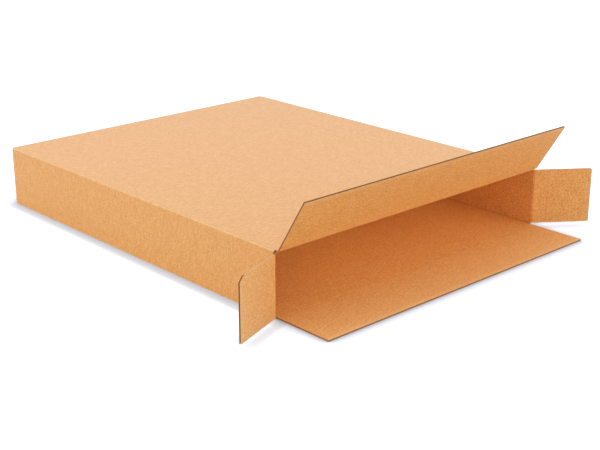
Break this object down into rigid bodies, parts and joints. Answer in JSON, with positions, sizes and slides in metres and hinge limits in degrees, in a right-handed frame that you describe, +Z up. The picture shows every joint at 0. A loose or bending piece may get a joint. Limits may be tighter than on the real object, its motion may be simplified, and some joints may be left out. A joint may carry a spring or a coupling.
{
  "type": "side-loading cardboard box",
  "caption": "Flat side-loading shipping box of plain corrugated board, set up with its rear end glued shut and the flaps of its narrow front end standing open on their creases.",
  "frame": {"origin": "middle of the underside of the box, where it rests", "axes": "+Z up, +Y from the open front end to the shut rear end, +X to the right seen from the front"},
  "size_m": [0.9936, 1.0653, 0.2437],
  "materials": {
    "kraft_board": "matte"
  },
  "bodies": {
    "box": {"box_body": "kraft_board"},
    "top_flap": {"top_flap": "kraft_board"},
    "bottom_flap": {"bottom_flap": "kraft_board"},
    "left_flap": {"left_flap": "kraft_board"},
    "right_flap": {"right_flap": "kraft_board"}
  },
  "joints": [
    {"name": "top_crease", "type": "hinge", "parent": "box", "child": "top_flap", "pos_m": [0, -0.46465, 0.13435], "axis": [-1, 0, 0], "range_deg": [-148, 122]},
    {"name": "bottom_crease", "type": "hinge", "parent": "box", "child": "bottom_flap", "pos_m": [0, -0.46855, -0.00015], "axis": [1, 0, 0], "range_deg": [-90, 0]},
    {"name": "left_crease", "type": "hinge", "parent": "box", "child": "left_flap", "pos_m": [-0.38475, -0.46075, 0.06635], "axis": [0, 0, -1], "range_deg": [-160, 110]},
    {"name": "right_crease", "type": "hinge", "parent": "box", "child": "right_flap", "pos_m": [0.38475, -0.46075, 0.0671], "axis": [0, 0, 1], "range_deg": [-143, 127]}
  ]
}
